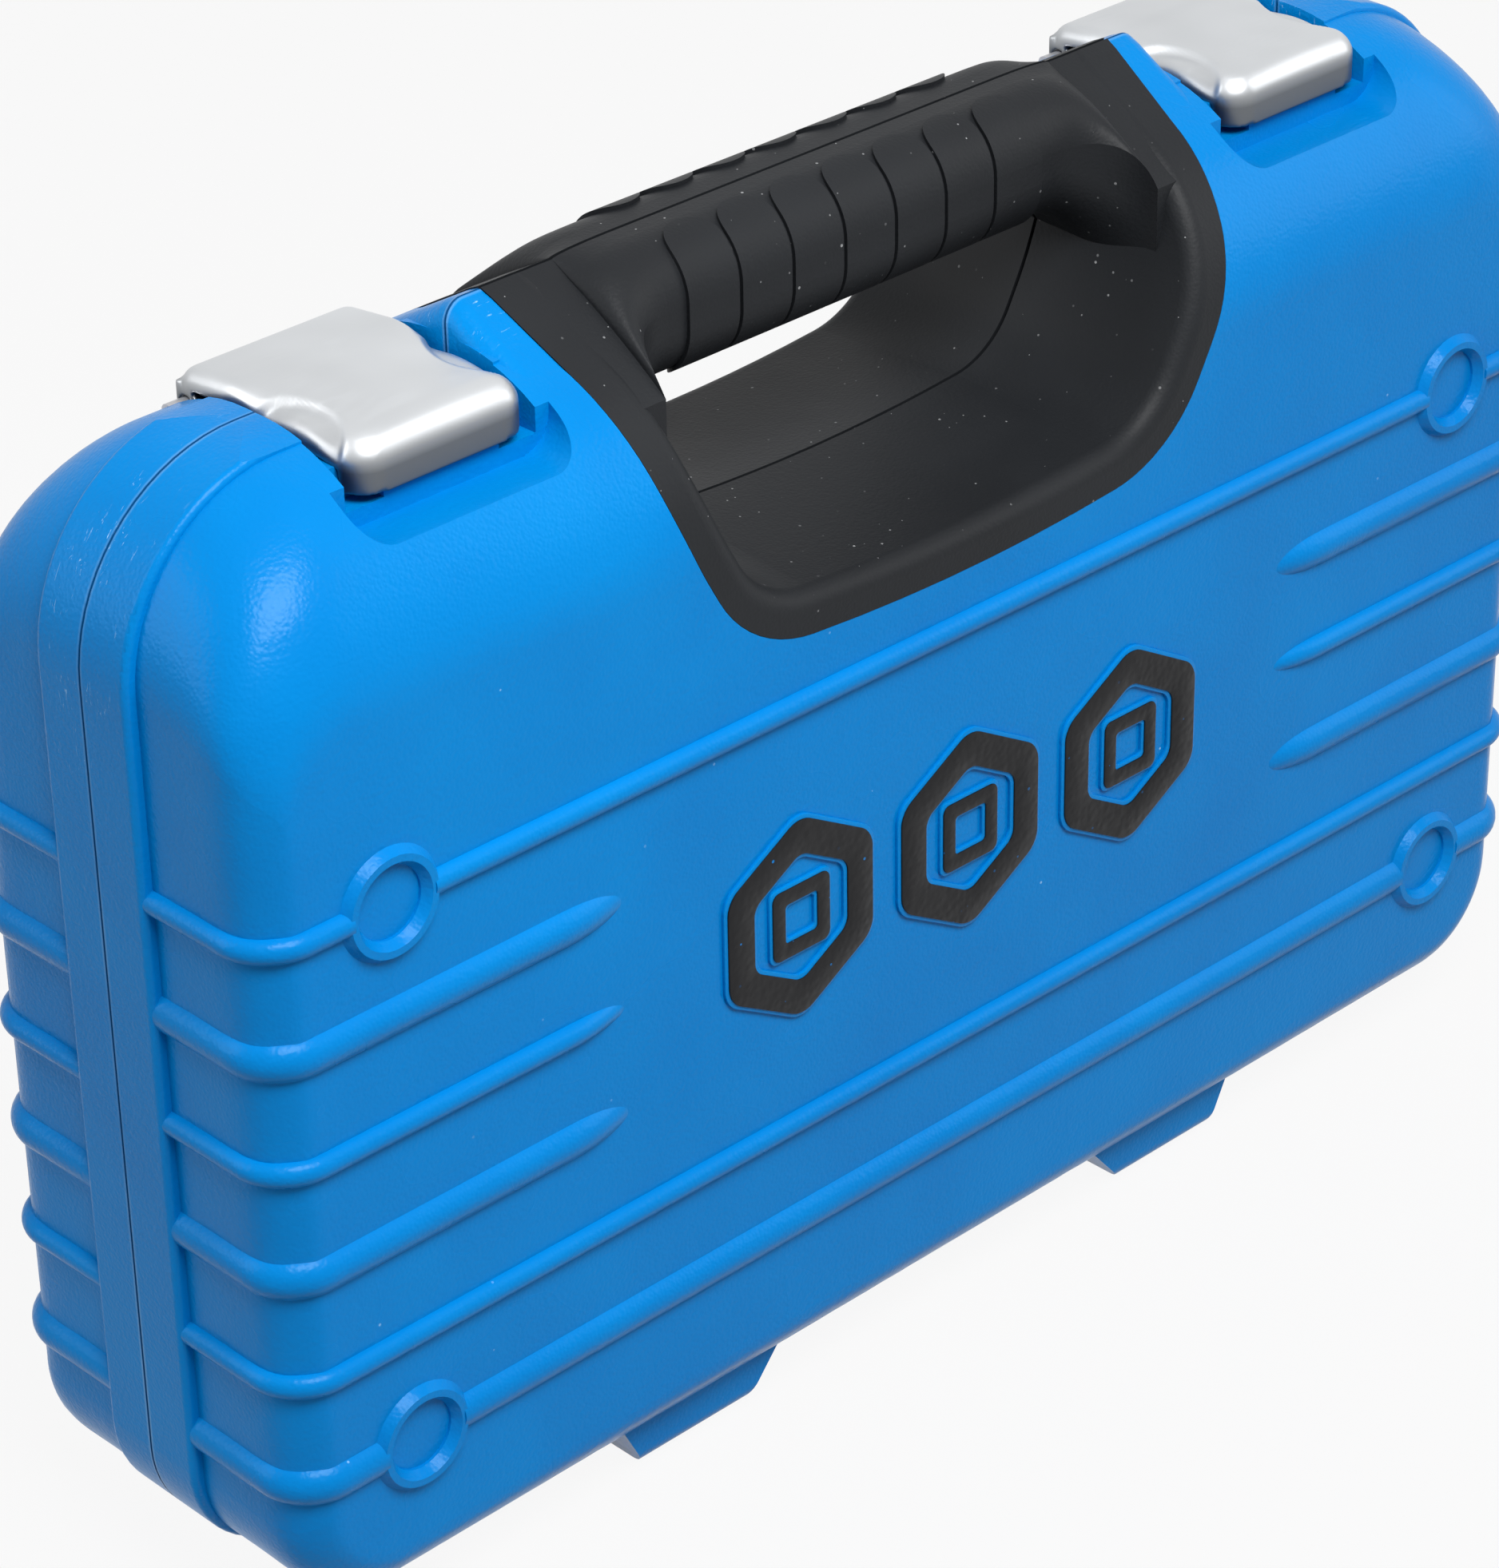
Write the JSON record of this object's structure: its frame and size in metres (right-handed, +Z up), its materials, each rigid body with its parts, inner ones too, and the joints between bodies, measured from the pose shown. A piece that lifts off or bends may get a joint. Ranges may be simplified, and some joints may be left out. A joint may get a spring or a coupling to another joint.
{
  "type": "socket wrench set in case",
  "caption": "Blue moulded tool case with black carrying handle, snap latches and hinged lid, holding a square-drive ratchet, extension bars and hexagon sockets",
  "frame": {"origin": "on the floor under the middle of the closed case, standing on its hinge-lug feet, in the parting plane of lid and base", "axes": "+X across the case, lid faces -Y, base and its tools behind at +Y, +Z up to the handle"},
  "size_m": [0.35, 0.0876, 0.2424],
  "materials": {
    "case_plastic": "satin, fine pebble grain",
    "handle_rubber": "matt soft-touch",
    "latch_steel": "satin pressed sheet",
    "pin_steel": "drawn wire",
    "tool_chrome": "satin chrome",
    "grip_plastic": "matt",
    "insert_rubber": "matt"
  },
  "bodies": {
    "base": {"base_shell": "case_plastic", "tool_tray": "case_plastic", "handle_back": "handle_rubber", "hinge_pin_left": "pin_steel", "hinge_pin_right": "pin_steel", "latch_pin_left": "pin_steel", "latch_pin_right": "pin_steel", "ratchet_body": "tool_chrome", "ratchet_cover": "tool_chrome", "ratchet_grip": "grip_plastic", "extension_long": "tool_chrome", "extension_short": "tool_chrome", "spark_plug_socket": "tool_chrome", "spark_plug_insert": "insert_rubber", "socket_24": "tool_chrome", "socket_22": "tool_chrome", "socket_21": "tool_chrome", "socket_19": "tool_chrome", "socket_18": "tool_chrome", "socket_17": "tool_chrome", "socket_16": "tool_chrome", "socket_14": "tool_chrome", "socket_13": "tool_chrome", "socket_12": "tool_chrome", "socket_10": "tool_chrome"},
    "lid": {"lid_shell": "case_plastic", "lid_liner": "case_plastic", "handle_front": "handle_rubber"},
    "latch_left": {"latch_left": "latch_steel"},
    "latch_right": {"latch_right": "latch_steel"},
    "ratchet_drive": {"ratchet_gear": "tool_chrome"},
    "reverser": {"reversing_lever": "tool_chrome", "ratchet_pawl": "tool_chrome"},
    "release": {"release_button": "tool_chrome"}
  },
  "joints": [
    {"name": "lid_hinge", "type": "hinge", "parent": "base", "child": "lid", "pos_m": [0, 0, 0.0051], "axis": [1, 0, 0], "range_deg": [0, 180]},
    {"name": "latch_left_flip", "type": "hinge", "parent": "base", "child": "latch_left", "pos_m": [-0.112, 0.022, 0.2277], "axis": [-1, 0, 0], "range_deg": [0, 110]},
    {"name": "latch_right_flip", "type": "hinge", "parent": "base", "child": "latch_right", "pos_m": [0.112, 0.022, 0.2277], "axis": [-1, 0, 0], "range_deg": [0, 110]},
    {"name": "ratchet_spin", "type": "hinge", "parent": "base", "child": "ratchet_drive", "pos_m": [-0.1367, 0.006, 0.04], "axis": [0, 1, 0], "continuous": true},
    {"name": "reverser_swing", "type": "hinge", "parent": "base", "child": "reverser", "pos_m": [-0.1127, 0.006, 0.04], "axis": [0, -1, 0], "range_deg": [0, 24]},
    {"name": "release_press", "type": "slide", "parent": "ratchet_drive", "child": "release", "axis": [0, 1, 0], "range_m": [0, 0.002], "stiffness_N_per_m": 600}
  ]
}
